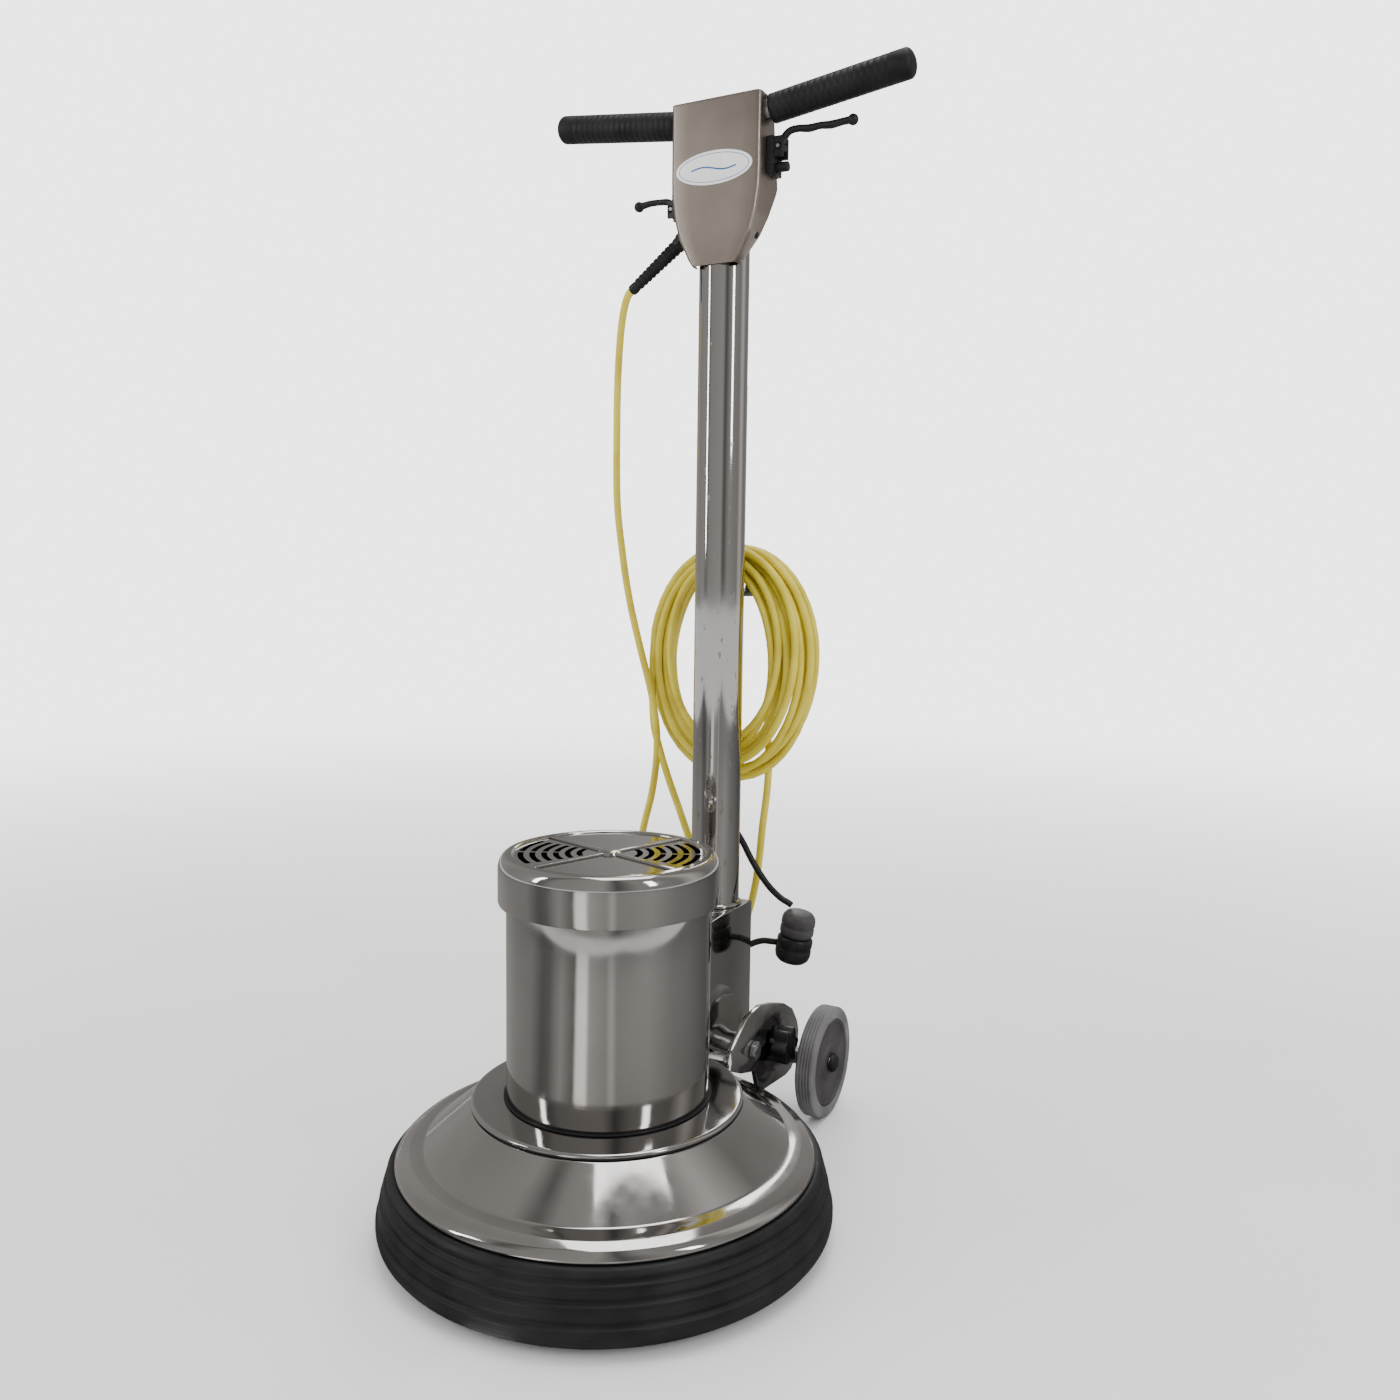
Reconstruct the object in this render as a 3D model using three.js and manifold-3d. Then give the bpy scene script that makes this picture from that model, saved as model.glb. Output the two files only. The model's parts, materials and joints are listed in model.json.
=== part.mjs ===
// Rotary floor machine: round chrome deck with a rubber bumper, upright motor, planetary gear drive,
// tilting handle with two levers, transport wheels and a coiled mains cord.
// Millimetres, +Z up, +Y towards the handle, +X along the right grip. Origin: floor, on the motor axis.
import * as THREE from 'three';
import { mergeVertices } from 'three/addons/utils/BufferGeometryUtils.js';
import Module from 'manifold-3d';

const wasm = await Module();
wasm.setup();
const TAU = Math.PI * 2;

// ---- driving dimensions ----
const PAD_R = 190, PAD_H = 20;
const RIM_R = 201, RIM_Z = 74;
const BUMPER_R = 218.5;
const CAN_R = 97.2, CAN_Z0 = 132.3, CAN_Z1 = 317.3;
const CAP_R = 105, CAP_Z1 = 364.7;
const TUBE_R = 27, TUBE_Y = 224.3, TUBE_Z0 = 155, TUBE_Z1 = 1050;
const PIVOT_Y = 205, PIVOT_Z = 108;
const AXLE_Y = 314, AXLE_Z = 65, WHEEL_R = 63.5, WHEEL_X0 = 89.3, WHEEL_X1 = 110.8;
const COVER_Y = 195.6, COVER_T = 1.6;
const MODULE = 3.2, SUN_T = 6, PLANET_T = 18, RING_T = 42, GEAR_Z0 = 92, GEAR_Z1 = 104;
const CORD_D = 8.6, LEAD_D = 7.4;
const GAP = 0.3;

// ---- materials ----
const mats = {};
function mat(name, hex, roughness, metalness) {
  return () => {
    const m = new THREE.MeshStandardMaterial({ color: hex, roughness, metalness });
    m.name = name;
    return m;
  };
}
mats.chrome = mat('chrome', 0xc9c5c2, 0.12, 1);
mats.steel = mat('steel', 0x9a9a9c, 0.35, 1);
mats.brushed = mat('brushed', 0xb5a898, 0.32, 1);
mats.alu = mat('aluminium', 0xa6a8aa, 0.5, 1);
mats.black = mat('black_plastic', 0x1a1a1b, 0.55, 0);
mats.rubber = mat('rubber', 0x141415, 0.75, 0);
mats.grey = mat('grey_plastic', 0x4a484c, 0.6, 0);
mats.tread = mat('grey_rubber', 0x77757a, 0.8, 0);
mats.yellow = mat('yellow_pvc', 0xd9c226, 0.45, 0);
mats.white = mat('badge', 0xf4f4f4, 0.4, 0);
mats.fibre = mat('pad_fibre', 0x2a211c, 0.95, 0);

const root = new THREE.Group();
root.name = 'rotary_floor_machine';

// ---- solid helpers ----
function solid(g) {
  g = g.clone();
  g.deleteAttribute('normal');
  g.deleteAttribute('uv');
  g = mergeVertices(g, 1e-4);
  const idx = g.index.array, p = g.attributes.position.array, keep = [];
  let vol = 0;
  for (let i = 0; i < idx.length; i += 3) {
    const [a, b, c] = [idx[i], idx[i + 1], idx[i + 2]];
    if (a === b || b === c || a === c) continue;
    keep.push(a, b, c);
    const [A, B, C] = [a, b, c].map((k) => new THREE.Vector3(p[3 * k], p[3 * k + 1], p[3 * k + 2]));
    vol += A.dot(B.cross(C)) / 6;
  }
  if (vol < 0) for (let i = 0; i < keep.length; i += 3) [keep[i], keep[i + 1]] = [keep[i + 1], keep[i]];
  const vertProperties = new Float32Array(p), triVerts = new Uint32Array(keep);
  const mesh = new wasm.Mesh({ numProp: 3, vertProperties, triVerts });
  mesh.merge();
  return new wasm.Manifold(mesh);
}
function geometry(m) {
  const out = m.getMesh();
  const g = new THREE.BufferGeometry();
  g.setAttribute('position', new THREE.BufferAttribute(new Float32Array(out.vertProperties), 3));
  g.setIndex(Array.from(out.triVerts));
  g.computeVertexNormals();
  return g;
}
function add(name, m, material) {
  const mesh = new THREE.Mesh(geometry(m), mats[material]());
  mesh.name = name;
  root.add(mesh);
}
// Revolves a closed [radius, height] outline about Z.
function lathe(pts, seg = 30) {
  const ring = pts.map(([r, z]) => new THREE.Vector2(r, z));
  const open = pts[0][0] === 0 && pts[pts.length - 1][0] === 0;
  if (!open) ring.push(ring[0].clone());
  const g = new THREE.LatheGeometry(ring, seg);
  g.rotateX(Math.PI / 2);
  return solid(g);
}
function ring(r0, r1, z0, z1, seg = 30) {
  return lathe([[r0, z0], [r1, z0], [r1, z1], [r0, z1]], seg);
}
function disc(r, z0, z1, seg = 30) {
  return lathe([[0, z0], [r, z0], [r, z1], [0, z1]], seg);
}
function box(x0, x1, y0, y1, z0, z1) {
  const g = new THREE.BoxGeometry(x1 - x0, y1 - y0, z1 - z0);
  g.translate((x0 + x1) / 2, (y0 + y1) / 2, (z0 + z1) / 2);
  return solid(g);
}
// Turns a solid made about Z so that its axis lies along +X.
const alongX = (m) => m.rotate([0, 90, 0]);
const alongY = (m) => m.rotate([-90, 0, 0]);
function rodX(r, x0, x1, y, z, seg = 24) {
  return alongX(disc(r, x0, x1, seg)).translate([0, y, z]);
}
function rodY(r, y0, y1, x, z, seg = 20) {
  return alongY(disc(r, y0, y1, seg)).translate([x, 0, z]);
}
function shapeOf(pts) {
  return new THREE.Shape(pts.map(([a, b]) => new THREE.Vector2(a, b)));
}
// Outline in (y, z), pushed from x0 to x1.
function slabX(pts, x0, x1) {
  const g = new THREE.ExtrudeGeometry(shapeOf(pts), { depth: x1 - x0, bevelEnabled: false });
  g.applyMatrix4(new THREE.Matrix4().set(0, 0, 1, x0, 1, 0, 0, 0, 0, 1, 0, 0, 0, 0, 0, 1));
  return solid(g);
}
// Outline in (x, z), pushed from y0 to y1.
function slabY(pts, y0, y1) {
  const g = new THREE.ExtrudeGeometry(shapeOf(pts), { depth: y1 - y0, bevelEnabled: false });
  g.applyMatrix4(new THREE.Matrix4().set(1, 0, 0, 0, 0, 0, -1, y1, 0, 1, 0, 0, 0, 0, 0, 1));
  return solid(g);
}
// Outline in (x, y), pushed from z0 to z1.
function slabZ(pts, z0, z1) {
  const g = new THREE.ExtrudeGeometry(shapeOf(pts), { depth: z1 - z0, bevelEnabled: false });
  g.translate(0, 0, z0);
  return solid(g);
}
function curve(pts) {
  return new THREE.CatmullRomCurve3(pts.map((p) => new THREE.Vector3(...p)), false, 'centripetal');
}
function tube(pts, d, steps, sides = 8) {
  const c = [];
  for (let i = 0; i < sides; i++) {
    const a = (i + 0.5) / sides * TAU;
    c.push([d / 2 * Math.cos(a), d / 2 * Math.sin(a)]);
  }
  const path = curve(pts);
  return solid(new THREE.ExtrudeGeometry(shapeOf(c), { steps, extrudePath: path, bevelEnabled: false }));
}
// Round bar with a radius at each end, between two points.
function bar(a, b, ra, rb, seg = 16) {
  const A = new THREE.Vector3(...a), B = new THREE.Vector3(...b);
  const g = new THREE.CylinderGeometry(rb, ra, A.distanceTo(B), seg);
  const dir = B.clone().sub(A).normalize();
  g.applyQuaternion(new THREE.Quaternion().setFromUnitVectors(new THREE.Vector3(0, 1, 0), dir));
  g.translate((A.x + B.x) / 2, (A.y + B.y) / 2, (A.z + B.z) / 2);
  return solid(g);
}
function ball(r, x, y, z, seg = 14) {
  const g = new THREE.SphereGeometry(r, seg, seg / 2 + 1);
  g.translate(x, y, z);
  return solid(g);
}

// ---- brush drive: pad, driver, clutch, output carrier ----
add('pad', lathe([[0, 0], [PAD_R - 2, 0], [PAD_R, 2], [PAD_R, PAD_H - 2], [PAD_R - 2, PAD_H], [0, PAD_H]]),
  'fibre');
add('pad_driver', lathe([[42, 20.3], [184, 20.3], [184, 32], [70, 35], [66, 38], [42, 38]]),
  'black');
function lobes(r, bump, n = 3, steps = 18) {
  const pts = [];
  for (let i = 0; i < steps; i++) {
    const a = i / steps * TAU;
    const q = r + bump * Math.max(0, Math.cos(n * a));
    pts.push([q * Math.cos(a), q * Math.sin(a)]);
  }
  return pts;
}
add('clutch_plate', disc(62, 38.3, 46.3, 40).subtract(slabZ(lobes(45, 7), 38, 47)), 'alu');
const pinR = MODULE * (SUN_T + PLANET_T) / 2;
let carrier = slabZ(lobes(44, 7), 38.6, 46.3)
  .add(lathe([[0, 46], [14, 46], [14, 84], [50, 84], [50, 90.5], [0, 90.5]], 24));
for (let i = 0; i < 3; i++) {
  const a = i / 3 * TAU;
  carrier = carrier.add(disc(6, 88, 106, 12).translate([pinR * Math.cos(a), pinR * Math.sin(a), 0]));
}
add('output_carrier', carrier, 'steel');

// ---- planetary gears ----
function gearOutline(teeth, rTip, rRoot, wTip, wRoot, phase) {
  const pts = [];
  for (let i = 0; i < teeth; i++) {
    const c = (i / teeth) * TAU + phase, p = TAU / teeth;
    for (const [r, w] of [[rRoot, -wRoot], [rTip, -wTip], [rTip, wTip], [rRoot, wRoot]]) {
      pts.push([r * Math.cos(c + w * p), r * Math.sin(c + w * p)]);
    }
  }
  return pts;
}
function spur(teeth, phase) {
  const r = MODULE * teeth / 2;
  return gearOutline(teeth, r + 0.75 * MODULE, r - 1.05 * MODULE, 0.1, 0.25, phase);
}
const pitchArc = Math.PI * MODULE;
add('sun_gear', slabZ(spur(SUN_T, 0), GEAR_Z0 - 0.5, GEAR_Z1), 'steel');
for (let i = 0; i < 3; i++) {
  const th = i / 3 * TAU, rs = MODULE * SUN_T / 2, rp = MODULE * PLANET_T / 2;
  const delta = -(th % (TAU / SUN_T));
  const phase = Math.PI + th - (rs * delta + pitchArc / 2) / rp;
  add('planet_gear_' + (i + 1), slabZ(spur(PLANET_T, phase), GEAR_Z0, GEAR_Z1).subtract(disc(6.4, 80, 110, 12))
    .translate([pinR * Math.cos(th), pinR * Math.sin(th), 0]), 'steel');
}
const rr = MODULE * RING_T / 2;
const ringTeeth = gearOutline(RING_T, rr - 0.75 * MODULE, rr + 1.05 * MODULE, 0.1, 0.25, 0);
add('ring_gear', disc(77, GEAR_Z0, GEAR_Z1, 28).subtract(slabZ(ringTeeth, GEAR_Z0 - 1, GEAR_Z1 + 1)), 'steel');
add('gear_case', lathe([[14.4, 73.5], [76, 73.5], [84, 78], [84, 123.6], [77.4, 123.6], [77.4, 80], [14.4, 80]], 32),
  'alu');

// ---- deck, bumper, flange ----
add('deck', lathe([[193.4, 30], [196, 30], [196, 71.5], [RIM_R, 73.5], [RIM_R - 1, 77.5], [195, 81.5], [184, 86.5],
  [173.6, 88.2], [130.5, 123.6], [85, 123.6], [85, 120.6], [129.4, 120.6], [171, 85.2], [185, 82.4],
  [193.4, 75]], 40), 'chrome');
add('bumper', lathe([[196.4, 4], [200, 4], [212, 10], [BUMPER_R, 20], [BUMPER_R, 27], [214, 33],
  [214.5, 42], [210, 49], [210, 57], [205.5, 62], [203.5, 71.2], [196.4, 71.2]], 40), 'rubber');
add('deck_gasket', ring(90, 129.6, 123.9, 125.1), 'rubber');
add('motor_flange', lathe([[8.4, 125.4], [130.4, 125.4], [130.4, 127.8], [128, 129.3], [104, 130.3],
  [8.4, 130.3]]), 'chrome');
add('motor_gasket', ring(90, 99.6, 130.6, 132), 'rubber');

// ---- motor ----
add('motor_can', ring(94.7, CAN_R, CAN_Z0, CAN_Z1), 'chrome');
add('stator', ring(56, 93.4, 170, 262), 'steel');
add('rotor_shaft', disc(8, 104.4, 312, 20), 'steel');
add('rotor_core', ring(8.3, 55, 172, 260, 32), 'alu');
let fan = ring(8.3, 22, 296, 309, 24).add(ring(20, 80, 296, 298.5, 24));
for (let i = 0; i < 6; i++) {
  fan = fan.add(box(30, 78, -1.2, 1.2, 297, 309).rotate([0, 0, i * 60]));
}
add('cooling_fan', fan, 'black');
let cap = lathe([[98.2, 317.8], [103.4, 317.8], [CAP_R, 319.5], [CAP_R, 355], [102, 361.5], [96.5, CAP_Z1],
  [91, CAP_Z1], [90, 362.6], [0, 362.6], [0, 360], [99.6, 360], [102.4, 354], [102.4, 321.2], [98.2, 321.2]], 36);
const VENT_DEG = 27, VENT_AZ = VENT_DEG * Math.PI / 180;
const VENT_ROWS = 6;
for (let s = 0; s < 2; s++) {
  for (let k = 0; k < VENT_ROWS; k++) {
    const r = 26 + k * 11, parts = k < 2 ? 1 : 2, half = 33 * Math.PI / 180;
    for (let j = 0; j < parts; j++) {
      const a0 = VENT_AZ + s * Math.PI - half + j * 2 * half / parts + (j ? 2.2 / r : 0);
      const a1 = VENT_AZ + s * Math.PI - half + (j + 1) * 2 * half / parts - (j < parts - 1 ? 2.2 / r : 0);
      const pts = [], n = parts > 1 ? 2 : 3;
      for (let i = 0; i <= n; i++) pts.push([r, a0 + (a1 - a0) * i / n]);
      for (let i = n; i >= 0; i--) pts.push([r + 5.5, a0 + (a1 - a0) * i / n]);
      cap = cap.subtract(slabZ(pts.map(([q, a]) => [q * Math.cos(a), q * Math.sin(a)]), 355, 370));
    }
  }
}
for (let i = 0; i < 2; i++) {
  cap = cap.add(box(-90.5, 90.5, -4, 4, 361, 364.4).rotate([0, 0, VENT_DEG + 45 + 90 * i]));
}
add('motor_cap', cap, 'chrome');

// ---- yoke: saddle on the deck, two cheeks, pivot, axle ----
const cheek = [[150, 104], [176, 92], [196, 86], [212, 82], [224, 52], [300, 44], [316, 46], [334, 60], [337, 86],
  [332, 100], [316, 120], [291, 134], [254, 146], [223, 153], [190, 150], [152, 126]];
for (const [name, x0, x1] of [['yoke_cheek_right', 54, 59.5], ['yoke_cheek_left', -59.5, -54]]) {
  add(name, slabX(cheek, x0, x1).subtract(rodX(6.3, x0 - 1, x1 + 1, PIVOT_Y, PIVOT_Z, 20))
    .subtract(rodX(6.3, x0 - 1, x1 + 1, AXLE_Y, AXLE_Z, 20)), 'chrome');
}
add('yoke_saddle', slabX([[143, 116.5], [170, 96], [178, 91.5], [190, 89.5], [190, 93.5], [172, 103],
  [150, 121], [143, 122]], -53.7, 53.7), 'steel');
add('pivot_pin', rodX(6, -66, 66, PIVOT_Y, PIVOT_Z, 20), 'steel');
add('axle', rodX(6, -116, 116, AXLE_Y, AXLE_Z, 16).add(rodX(10, 60, 88.8, AXLE_Y, AXLE_Z, 16))
  .add(rodX(10, -88.8, -60, AXLE_Y, AXLE_Z, 16)), 'steel');
for (const [side, s] of [['right', 1], ['left', -1]]) {
  const put = (m) => (s > 0 ? m : m.mirror([1, 0, 0]));
  const wheelAt = (m) => put(alongX(m).translate([0, AXLE_Y, AXLE_Z]));
  add('tyre_' + side, wheelAt(lathe([[50, WHEEL_X0], [61, WHEEL_X0], [WHEEL_R, WHEEL_X0 + 3],
    [WHEEL_R, WHEEL_X1 - 3], [61, WHEEL_X1], [50, WHEEL_X1]], 28)), 'tread');
  add('hub_' + side, wheelAt(lathe([[6.3, WHEEL_X0], [16, WHEEL_X0], [18, WHEEL_X0 + 5], [42, WHEEL_X0 + 5],
    [44, WHEEL_X0 + 1], [49.7, WHEEL_X0 + 1], [49.7, WHEEL_X1 - 1], [6.3, WHEEL_X1 - 2]], 28)), 'grey');
  add('axle_cap_' + side, wheelAt(lathe([[6.3, 111.1], [11, 111.1], [11, 114], [8, 117], [0, 117.6], [0, 116.3],
    [6.3, 116.3]], 20)), 'black');
}
// clamp knob on the right cheek
let knob = disc(15, 64, 82, 12);
for (let i = 0; i < 6; i++) knob = knob.add(disc(6.5, 64, 82, 10).translate([15, 0, 0]).rotate([0, 0, i * 60]));
add('clamp_knob', alongX(knob).add(rodX(5, 60, 66, 0, 0, 16)).translate([0, 262, 97]), 'black');

// ---- handle foot: socket box with the tilt brake sector ----
let foot = slabX([[110, 134], [140, 134], [168, 111], [190, 95], [222, 95], [252, 118], [252, 262], [110, 262]],
  -33, 33);
foot = foot.subtract(disc(TUBE_R + GAP, TUBE_Z0 - GAP, 300, 40).translate([0, TUBE_Y, 0]));
foot = foot.subtract(rodX(6.3, -40, 40, PIVOT_Y, PIVOT_Z, 20));
const sweep = [];
for (let i = 0; i <= 10; i++) {
  const a = (-4 + 138 * i / 10) * Math.PI / 180;
  sweep.push([PIVOT_Y + 43 * Math.cos(a), PIVOT_Z + 43 * Math.sin(a)]);
}
foot = foot.subtract(slabX([[PIVOT_Y, PIVOT_Z - 1], ...sweep], -6, 6))
  .subtract(rodX(13, -6, 6, PIVOT_Y, PIVOT_Z, 20));
foot = foot.subtract(disc(4.6, 130, 160, 16).translate([0, TUBE_Y, 0]));
foot = foot.subtract(box(-29.5, 29.5, 100, 188, 140, 258));
add('socket_box', foot, 'chrome');
const sector = [];
for (let i = 0; i <= 8; i++) {
  const a = (6 + 66 * i / 8) * Math.PI / 180;
  sector.push([PIVOT_Y + 40 * Math.cos(a), PIVOT_Z + 40 * Math.sin(a)]);
}
add('brake_sector', slabX([[PIVOT_Y, PIVOT_Z], ...sector], -4, 4).add(rodX(11, -4, 4, PIVOT_Y, PIVOT_Z, 24))
  .subtract(rodX(6.3, -5, 5, PIVOT_Y, PIVOT_Z, 20)), 'steel');

// ---- handle tube, hooks ----
add('handle_tube', ring(TUBE_R - 2, TUBE_R, TUBE_Z0, TUBE_Z1, 36).translate([0, TUBE_Y, 0]), 'chrome');
add('release_rod', disc(4, 146, 1006, 12).translate([0, TUBE_Y, 0]), 'steel');
add('cord_hook', slabX([[251.9, 600], [255.9, 600], [257.9, 604], [304, 604], [312, 610], [316, 622], [316, 640],
  [311, 640], [311, 625], [307, 613], [300, 610], [257.9, 610], [255.9, 614], [255.9, 712], [251.9, 712]], -9, 9),
'black');

// ---- head: cover, inner body, badge ----
const outline = [[0, 950], [25, 950], [30.5, 957], [34, 965], [42, 980], [47, 1000], [51.5, 1025], [51.5, 1117],
  [0, 1117]];
function coverShape(inset, z0, z1) {
  const right = outline.filter(([x]) => x > 0).map(([x, z]) => [x - inset, Math.min(Math.max(z, z0), z1)]);
  const left = right.slice().reverse().map(([x, z]) => [-x, z]);
  return [...right, ...left];
}
let cover = slabY(coverShape(0, 950, 1117), COVER_Y, 246);
cover = cover.subtract(slabY(coverShape(COVER_T, 940, 1130), COVER_Y + COVER_T, 250));
const back = [[206, 940], [212, 957], [244, 1032], [233, 1089], [227, 1130], [262, 1130], [262, 940]];
cover = cover.subtract(slabX(back, -60, 60));
cover = cover.subtract(rodX(3, 30, 60, 215, 979, 12));
const GRIP_TILT = 7.45 * Math.PI / 180, GRIP_Y = 219;
function gripPoint(x) {
  return [x, GRIP_Y, 1104 + (Math.abs(x) - 52) * Math.tan(GRIP_TILT)];
}
for (const s of [1, -1]) cover = cover.subtract(bar(gripPoint(40 * s), gripPoint(70 * s), 11.4, 11.4, 20));
for (const [a, b, c, d] of [[40, 60, 1060, 1072], [-60, -40, 1014, 1026]]) {
  cover = cover.subtract(box(a, b, 220, 226, c, d));
}
add('head_cover', cover, 'brushed');
add('badge', (() => {
  const pts = [];
  for (let i = 0; i < 32; i++) pts.push([44 * Math.cos(i / 32 * TAU), 1047 + 17 * Math.sin(i / 32 * TAU)]);
  return slabY(pts, COVER_Y - 1, COVER_Y - GAP);
})(), 'white');
let head = slabY(coverShape(COVER_T + GAP, 966, 1114), COVER_Y + COVER_T + GAP, 240);
head = head.subtract(disc(TUBE_R + GAP, 900, TUBE_Z1 + GAP, 36).translate([0, TUBE_Y, 0]));
const headBack = [[210, 940], [216, 966], [238, 1026], [230, 1089], [225, 1130], [262, 1130], [262, 940]];
head = head.subtract(slabX(headBack, -60, 60));
const BAR_MID = [0, GRIP_Y, 1097.2];
for (const s of [1, -1]) head = head.subtract(bar(BAR_MID, gripPoint(70 * s), 11.4, 11.4, 20));
add('head_body', head, 'black');

// ---- handlebar, grips ----
add('bar_core', bar(BAR_MID, gripPoint(196), 11, 11, 20).add(bar(BAR_MID, gripPoint(-196), 11, 11, 20)), 'steel');
for (const [side, s] of [['right', 1], ['left', -1]]) {
  let grip = bar(gripPoint(54.6 * s), gripPoint(200 * s), 14.6, 14.6, 20);
  grip = grip.add(bar(gripPoint(200 * s), gripPoint(206 * s), 14.6, 9, 20));
  add('grip_' + side, grip.subtract(bar(gripPoint(50 * s), gripPoint(196.4 * s), 11.3, 11.3, 16)), 'rubber');
}

// ---- right start lever, interlock button ----
const START_PIN = [63, 1066], RELEASE_PIN = [-62, 1019];
let housing = box(52, 59, 212, 236, 1040, 1076);
for (const [y0, y1] of [[215.5, 219.4], [228.6, 232.5]]) housing = housing.add(box(58, 68, y0, y1, 1056, 1076));
housing = housing.subtract(rodY(3.3, 210, 240, ...START_PIN, 14)).subtract(rodX(5.3, 51, 62, 224, 1047, 18));
add('start_housing', housing.subtract(box(58, 80, 219.4, 228.6, 1050, 1080)), 'black');
// Flat cast lever: a strip along the path, a round boss on the pin and a ball at the tip.
function lever(path, rBoss, halfWidth, tipR) {
  const [x, z] = path[0], up = [], down = [];
  path.forEach(([px, pz], i) => {
    const [ax, az] = path[Math.max(i - 1, 0)], [bx, bz] = path[Math.min(i + 1, path.length - 1)];
    const len = Math.hypot(bx - ax, bz - az);
    const nx = -(bz - az) / len * halfWidth, nz = (bx - ax) / len * halfWidth;
    up.push([px + nx, pz + nz]);
    down.unshift([px - nx, pz - nz]);
  });
  const [tx, tz] = path[path.length - 1];
  return slabY([...up, ...down], 220.4, 227.6).add(rodY(rBoss, 219.8, 228.2, x, z, 18))
    .add(ball(tipR, tx, 224, tz, 10)).subtract(rodY(2.3, 210, 240, x, z, 14));
}
add('start_lever', lever([START_PIN, [66.5, 1076], [72.5, 1081.5], [82, 1082.5], [94, 1081.2], [105.5, 1081],
  [140, 1082]], 4.6, 3.6, 5.8), 'black');
add('start_pin', rodY(2, 215.2, 234, ...START_PIN, 14).add(rodY(3, 232.8, 234, ...START_PIN, 14)), 'steel');
add('interlock_button', rodX(5, 57.5, 72, 224, 1047, 18), 'black');

// ---- left tilt-release lever ----
let bracket = box(-59, -52, 213, 235, 1008, 1034);
for (const [y0, y1] of [[215.5, 219.4], [228.6, 232.5]]) bracket = bracket.add(box(-66, -58, y0, y1, 1010, 1028));
bracket = bracket.subtract(rodY(3.3, 210, 240, ...RELEASE_PIN, 14)).subtract(box(-80, -57, 219.4, 228.6, 1004, 1040));
add('release_bracket', bracket, 'black');
add('release_lever', lever([RELEASE_PIN, [-65, 1026], [-70, 1030], [-90, 1031], [-106, 1029]], 4.6, 3.4, 5.8), 'black');
add('release_pin', rodY(2, 215.2, 234, ...RELEASE_PIN, 14).add(rodY(3, 232.8, 234, ...RELEASE_PIN, 14)), 'steel');

// ---- mains cord: gland, drop, coil, tail, plug ----
add('cord_gland', bar([-47.5, 224, 989], [-114.5, 224, 940], 8.4, 5.8, 18), 'black');
const drop = [[-115, 224, 939.6], [-119.2, 224.6, 936.4], [-127.5, 230, 925], [-137, 238, 900], [-146, 247, 850],
  [-150.5, 253, 790], [-150, 254, 713], [-142, 254, 650], [-132, 254, 597], [-118, 254, 545], [-103, 255, 493],
  [-96, 257, 450], [-96, 258, 412], [-103, 260, 370], [-114, 262, 332], [-120.5, 264, 300], [-122, 266, 268],
  [-116.9, 267.5, 249], [-103, 269, 235.1], [-84, 269.5, 230], [-65, 269, 235.1], [-51.1, 268.5, 249],
  [-46, 268, 268], [-48, 266, 300], [-63, 262, 345], [-78, 259, 385]];
add('cord_drop', tube(drop, CORD_D, 42), 'yellow');
// Outer oval (cx, cz, rx, rz), inner oval (hx, hz, hrx, hrz), depth from y0 to y1.
const coil = { cx: -10.5, cz: 520, rx: 109.5, rz: 144, hx: -24.5, hz: 544, hrx: 54.5, hrz: 92, y0: 262.5, y1: 301.5 };
const ringShape = new THREE.Shape(Array.from({ length: 28 }, (_, i) => new THREE.Vector2(
  coil.cx + (coil.rx - 6) * Math.cos(i / 28 * TAU), coil.cz + (coil.rz - 6) * Math.sin(i / 28 * TAU))));
ringShape.holes.push(new THREE.Path(Array.from({ length: 28 }, (_, i) => new THREE.Vector2(
  coil.hx + (coil.hrx + 6) * Math.cos(-i / 28 * TAU), coil.hz + (coil.hrz + 6) * Math.sin(-i / 28 * TAU)))));
const coilGeo = new THREE.ExtrudeGeometry(ringShape, { depth: coil.y1 - coil.y0 - 20, bevelEnabled: true, bevelSize: 6,
  bevelThickness: 10, bevelSegments: 1, steps: 1 });
coilGeo.applyMatrix4(new THREE.Matrix4().set(1, 0, 0, 0, 0, 0, -1, coil.y1 - 10, 0, 1, 0, 0, 0, 0, 0, 1));
add('cord_coil', solid(coilGeo), 'yellow');
const tail = [[35, 282, 374.5], [31, 282, 340], [28, 282, 305], [24, 282, 275], [18, 281.5, 246], [10, 281, 221],
  [6.8, 281, 212]];
add('cord_tail', tube(tail, CORD_D, 10), 'yellow');
let plug = lathe([[0, 0], [7, 0], [9, -4], [11, -16], [15, -26], [16, -44], [0, -44]], 20);
for (const dx of [-6.5, 6.5]) plug = plug.add(box(dx - 0.8, dx + 0.8, -3.2, 3.2, -62, -40));
add('plug', plug.rotate([0, 19, 0]).translate([6.7, 281, 211.6]), 'yellow');

// ---- motor lead with in-line connector ----
const leadA = [[10, 253.6, 340], [17, 260, 325], [29, 263.5, 302], [46, 264, 280], [62, 263.5, 267], [73, 263, 262],
  [77.2, 263, 259.6]];
add('motor_lead_upper', tube(leadA, LEAD_D, 12), 'black');
const up = new THREE.Vector3(0.17, 0, 0.985).normalize();
const tilt = Math.atan2(up.x, up.z) * 180 / Math.PI;
const conn = (m) => m.rotate([0, tilt, 0]).translate([83, 263, 224]);
add('connector_plug', conn(lathe([[0, 2.2], [17, 2.2], [19, 6], [19, 22], [15, 29], [0, 30]], 24)), 'grey');
add('connector_socket', conn(lathe([[0, 1.9], [18, 1.9], [20, -2], [20, -20], [15, -28], [0, -29]], 24)), 'black');
const leadB = [[60.2, 263, 214.6], [52, 262.7, 214.4], [44, 262, 214], [36, 260.5, 211.5], [29.5, 257.5, 208.5],
  [28, 253.6, 208]];
add('motor_lead_lower', tube(leadB, LEAD_D, 8), 'black');

export default root;
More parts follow.
